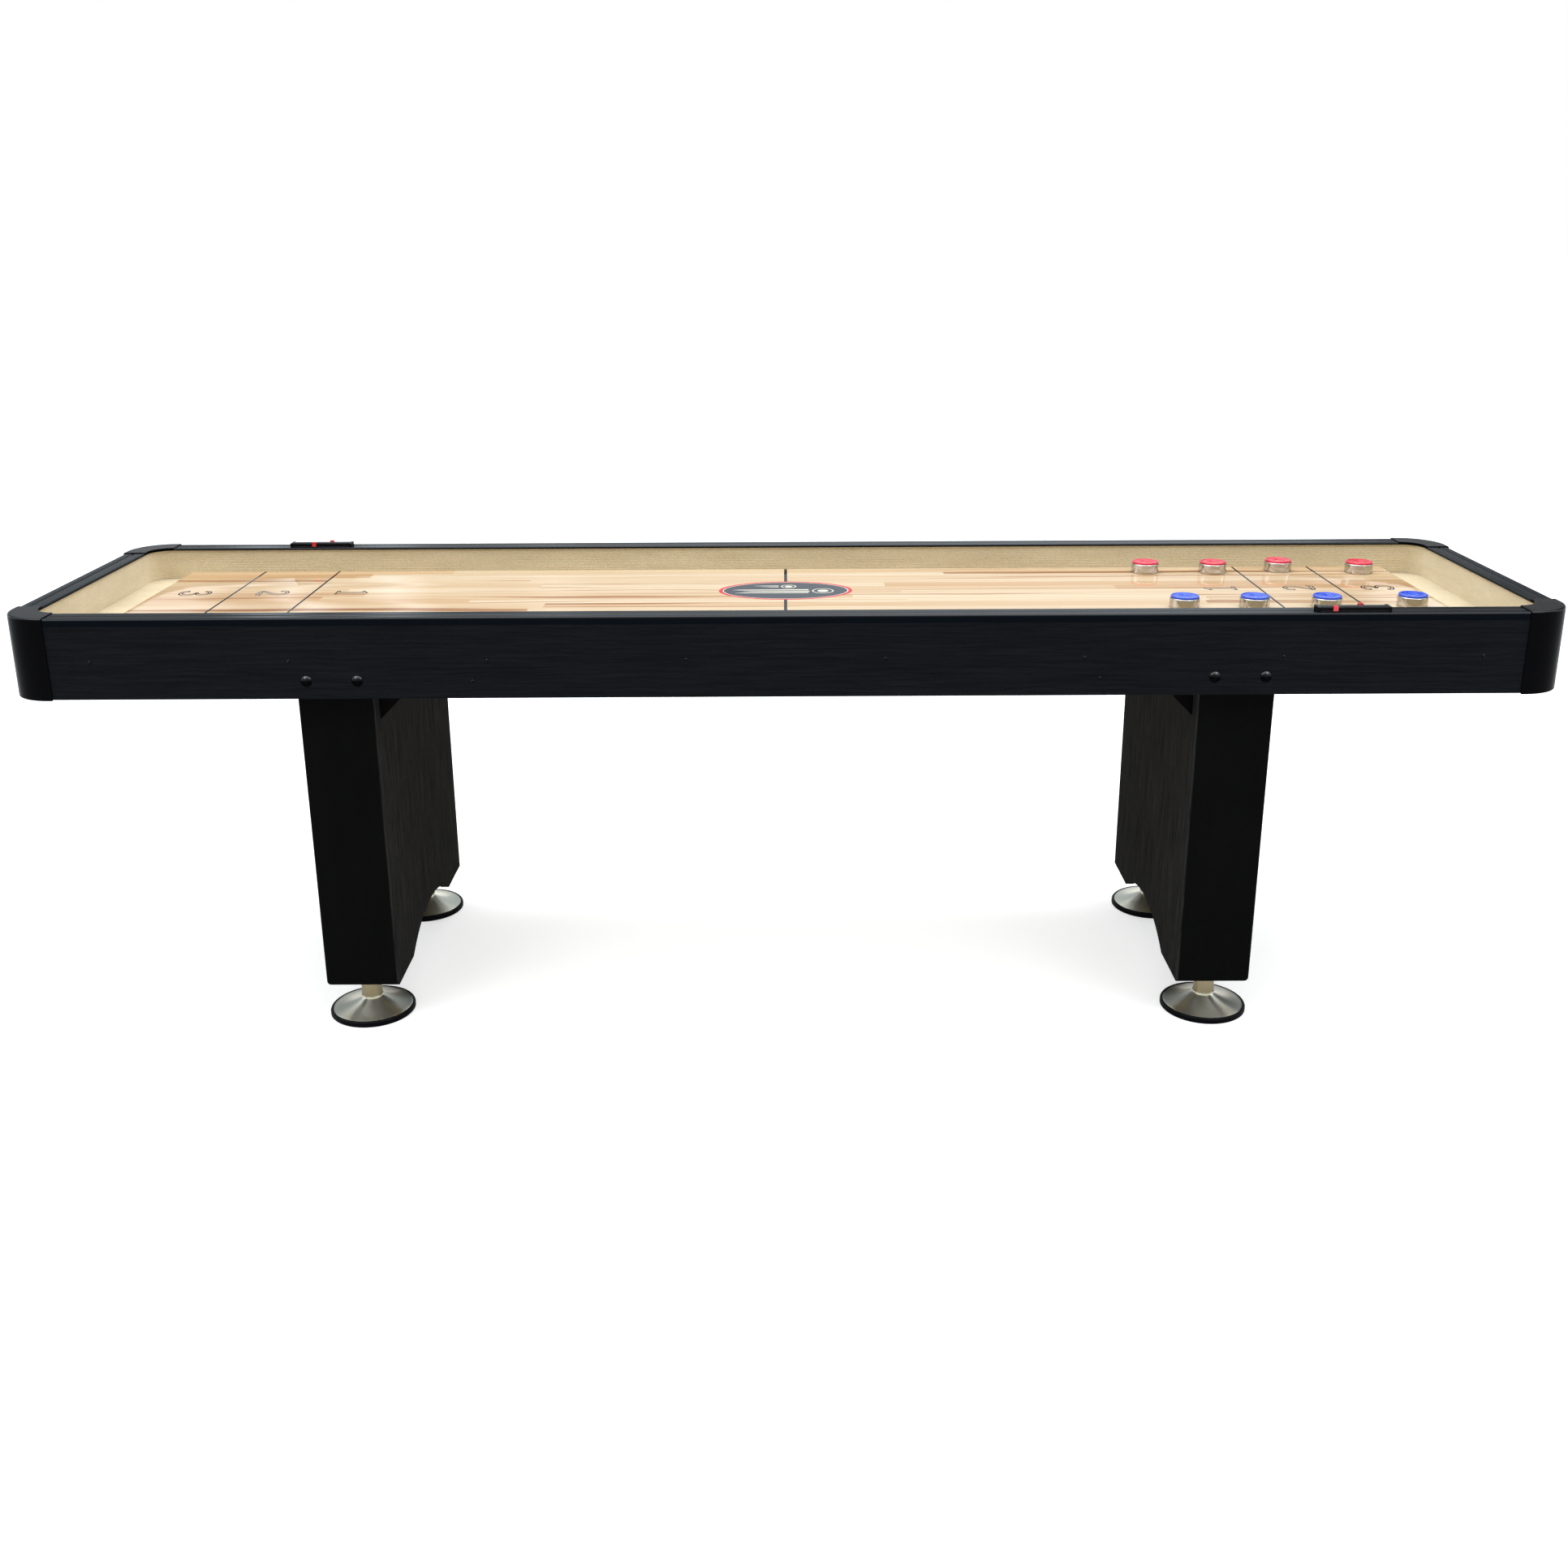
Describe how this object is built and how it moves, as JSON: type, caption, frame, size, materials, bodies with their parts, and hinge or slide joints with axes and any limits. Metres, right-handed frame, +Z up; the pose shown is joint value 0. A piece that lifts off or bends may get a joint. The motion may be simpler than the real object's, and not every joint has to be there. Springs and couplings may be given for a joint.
{
  "type": "shuffleboard table",
  "caption": "Free-standing table shuffleboard: a raised maple board in a railed, carpet-lined tray on two pedestal legs, with sliding pucks, score counters and screw-down feet.",
  "frame": {"origin": "on the floor, under the middle of the table", "axes": "+X along the board, from the end without pucks to the end with them; +Y across the table, from the front side (with the right-hand scorer) to the rear; +Z up"},
  "size_m": [2.748, 0.689, 0.8111],
  "materials": {
    "apron_laminate": "satin black woodgrain laminate",
    "rail_black": "satin black moulding",
    "cap_plastic": "satin black moulded plastic",
    "frame_wood": "plain sawn wood",
    "gutter_panel": "carpeted panel",
    "liner_carpet": "ribbed carpet",
    "board_maple": "maple butcher block under a thick gloss coat",
    "leg_laminate": "satin charcoal woodgrain laminate",
    "leg_black": "satin black lacquer",
    "black_steel": "black coated steel",
    "zinc_steel": "zinc plated",
    "foot_rubber": "moulded rubber",
    "foot_nickel": "satin nickel plated casting",
    "puck_steel": "polished chrome on steel",
    "puck_red": "gloss moulded plastic",
    "puck_blue": "gloss moulded plastic",
    "scorer_black": "fine satin moulded plastic",
    "scorer_red": "gloss moulded plastic"
  },
  "bodies": {
    "table": {"apron_screws": "black_steel", "corner_blocks": "frame_wood", "corner_cap_front_left": "cap_plastic", "corner_cap_front_right": "cap_plastic", "corner_cap_rear_left": "cap_plastic", "corner_cap_rear_right": "cap_plastic", "cross_bearers": "frame_wood", "end_apron_left": "apron_laminate", "end_apron_right": "apron_laminate", "foot_blocks": "frame_wood", "foot_inserts": "zinc_steel", "gutter_floor": "gutter_panel", "gutter_liner": "liner_carpet", "leg_bolts": "black_steel", "leg_gussets": "leg_black", "leg_inserts": "zinc_steel", "leg_left_end_posts": "leg_black", "leg_left_inner_panel": "leg_laminate", "leg_left_outer_panel": "leg_laminate", "leg_right_end_posts": "leg_black", "leg_right_inner_panel": "leg_laminate", "leg_right_outer_panel": "leg_laminate", "playfield_board": "board_maple", "scorer_bar_front": "scorer_black", "scorer_bar_rear": "scorer_black", "side_apron_front": "apron_laminate", "side_apron_rear": "apron_laminate", "top_rail_front": "rail_black", "top_rail_left": "rail_black", "top_rail_rear": "rail_black", "top_rail_right": "rail_black"},
    "foot_ring_front_left": {"foot_pad_front_left": "foot_rubber"},
    "foot_screw_front_left": {"foot_base_front_left": "foot_nickel"},
    "foot_ring_front_right": {"foot_pad_front_right": "foot_rubber"},
    "foot_screw_front_right": {"foot_base_front_right": "foot_nickel"},
    "foot_ring_rear_left": {"foot_pad_rear_left": "foot_rubber"},
    "foot_screw_rear_left": {"foot_base_rear_left": "foot_nickel"},
    "foot_ring_rear_right": {"foot_pad_rear_right": "foot_rubber"},
    "foot_screw_rear_right": {"foot_base_rear_right": "foot_nickel"},
    "puck_red_1": {"puck_weight_red_1": "puck_steel", "puck_cap_red_1": "puck_red"},
    "puck_red_2": {"puck_weight_red_2": "puck_steel", "puck_cap_red_2": "puck_red"},
    "puck_red_3": {"puck_weight_red_3": "puck_steel", "puck_cap_red_3": "puck_red"},
    "puck_red_4": {"puck_weight_red_4": "puck_steel", "puck_cap_red_4": "puck_red"},
    "puck_blue_1": {"puck_weight_blue_1": "puck_steel", "puck_cap_blue_1": "puck_blue"},
    "puck_blue_2": {"puck_weight_blue_2": "puck_steel", "puck_cap_blue_2": "puck_blue"},
    "puck_blue_3": {"puck_weight_blue_3": "puck_steel", "puck_cap_blue_3": "puck_blue"},
    "puck_blue_4": {"puck_weight_blue_4": "puck_steel", "puck_cap_blue_4": "puck_blue"},
    "scorer_slider_front_front": {"scorer_slider_front_front": "scorer_red"},
    "scorer_slider_front_rear": {"scorer_slider_front_rear": "scorer_red"},
    "scorer_slider_rear_front": {"scorer_slider_rear_front": "scorer_red"},
    "scorer_slider_rear_rear": {"scorer_slider_rear_rear": "scorer_red"}
  },
  "joints": [
    {"name": "foot_lift_front_left", "type": "slide", "parent": "table", "child": "foot_ring_front_left", "axis": [0, 0, -1], "range_m": [0, 0.015]},
    {"name": "foot_turn_front_left", "type": "hinge", "parent": "foot_ring_front_left", "child": "foot_screw_front_left", "pos_m": [-0.802, -0.242, 0.078], "axis": [0, 0, -1], "range_deg": [0, 2700]},
    {"name": "foot_lift_front_right", "type": "slide", "parent": "table", "child": "foot_ring_front_right", "axis": [0, 0, -1], "range_m": [0, 0.015]},
    {"name": "foot_turn_front_right", "type": "hinge", "parent": "foot_ring_front_right", "child": "foot_screw_front_right", "pos_m": [0.802, -0.242, 0.078], "axis": [0, 0, -1], "range_deg": [0, 2700]},
    {"name": "foot_lift_rear_left", "type": "slide", "parent": "table", "child": "foot_ring_rear_left", "axis": [0, 0, -1], "range_m": [0, 0.015]},
    {"name": "foot_turn_rear_left", "type": "hinge", "parent": "foot_ring_rear_left", "child": "foot_screw_rear_left", "pos_m": [-0.802, 0.242, 0.078], "axis": [0, 0, -1], "range_deg": [0, 2700]},
    {"name": "foot_lift_rear_right", "type": "slide", "parent": "table", "child": "foot_ring_rear_right", "axis": [0, 0, -1], "range_m": [0, 0.015]},
    {"name": "foot_turn_rear_right", "type": "hinge", "parent": "foot_ring_rear_right", "child": "foot_screw_rear_right", "pos_m": [0.802, 0.242, 0.078], "axis": [0, 0, -1], "range_deg": [0, 2700]},
    {"name": "puck_slide_red_1", "type": "slide", "parent": "table", "child": "puck_red_1", "axis": [1, 0, 0], "range_m": [-1.917, 0.08]},
    {"name": "puck_slide_red_2", "type": "slide", "parent": "table", "child": "puck_red_2", "axis": [1, 0, 0], "range_m": [-0.08, 0.081]},
    {"name": "puck_slide_red_3", "type": "slide", "parent": "table", "child": "puck_red_3", "axis": [1, 0, 0], "range_m": [-0.081, 0.102]},
    {"name": "puck_slide_red_4", "type": "slide", "parent": "table", "child": "puck_red_4", "axis": [1, 0, 0], "range_m": [-0.102, 0.035]},
    {"name": "puck_slide_blue_1", "type": "slide", "parent": "table", "child": "puck_blue_1", "axis": [1, 0, 0], "range_m": [-1.923, 0.073]},
    {"name": "puck_slide_blue_2", "type": "slide", "parent": "table", "child": "puck_blue_2", "axis": [1, 0, 0], "range_m": [-0.073, 0.077]},
    {"name": "puck_slide_blue_3", "type": "slide", "parent": "table", "child": "puck_blue_3", "axis": [1, 0, 0], "range_m": [-0.077, 0.1045]},
    {"name": "puck_slide_blue_4", "type": "slide", "parent": "table", "child": "puck_blue_4", "axis": [1, 0, 0], "range_m": [-0.1045, 0.0375]},
    {"name": "score_front_front", "type": "slide", "parent": "table", "child": "scorer_slider_front_front", "axis": [1, 0, 0], "range_m": [-0.0208, 0.0878]},
    {"name": "score_front_rear", "type": "slide", "parent": "table", "child": "scorer_slider_front_rear", "axis": [1, 0, 0], "range_m": [-0.0698, 0.0388]},
    {"name": "score_rear_front", "type": "slide", "parent": "table", "child": "scorer_slider_rear_front", "axis": [1, 0, 0], "range_m": [-0.0408, 0.0678]},
    {"name": "score_rear_rear", "type": "slide", "parent": "table", "child": "scorer_slider_rear_rear", "axis": [1, 0, 0], "range_m": [-0.0738, 0.0348]}
  ],
  "couplings": [
    {"joint": "foot_lift_front_left", "follows": "foot_turn_front_left", "m_per_rad": 0.0003183},
    {"joint": "foot_lift_front_right", "follows": "foot_turn_front_right", "m_per_rad": 0.0003183},
    {"joint": "foot_lift_rear_left", "follows": "foot_turn_rear_left", "m_per_rad": 0.0003183},
    {"joint": "foot_lift_rear_right", "follows": "foot_turn_rear_right", "m_per_rad": 0.0003183}
  ]
}
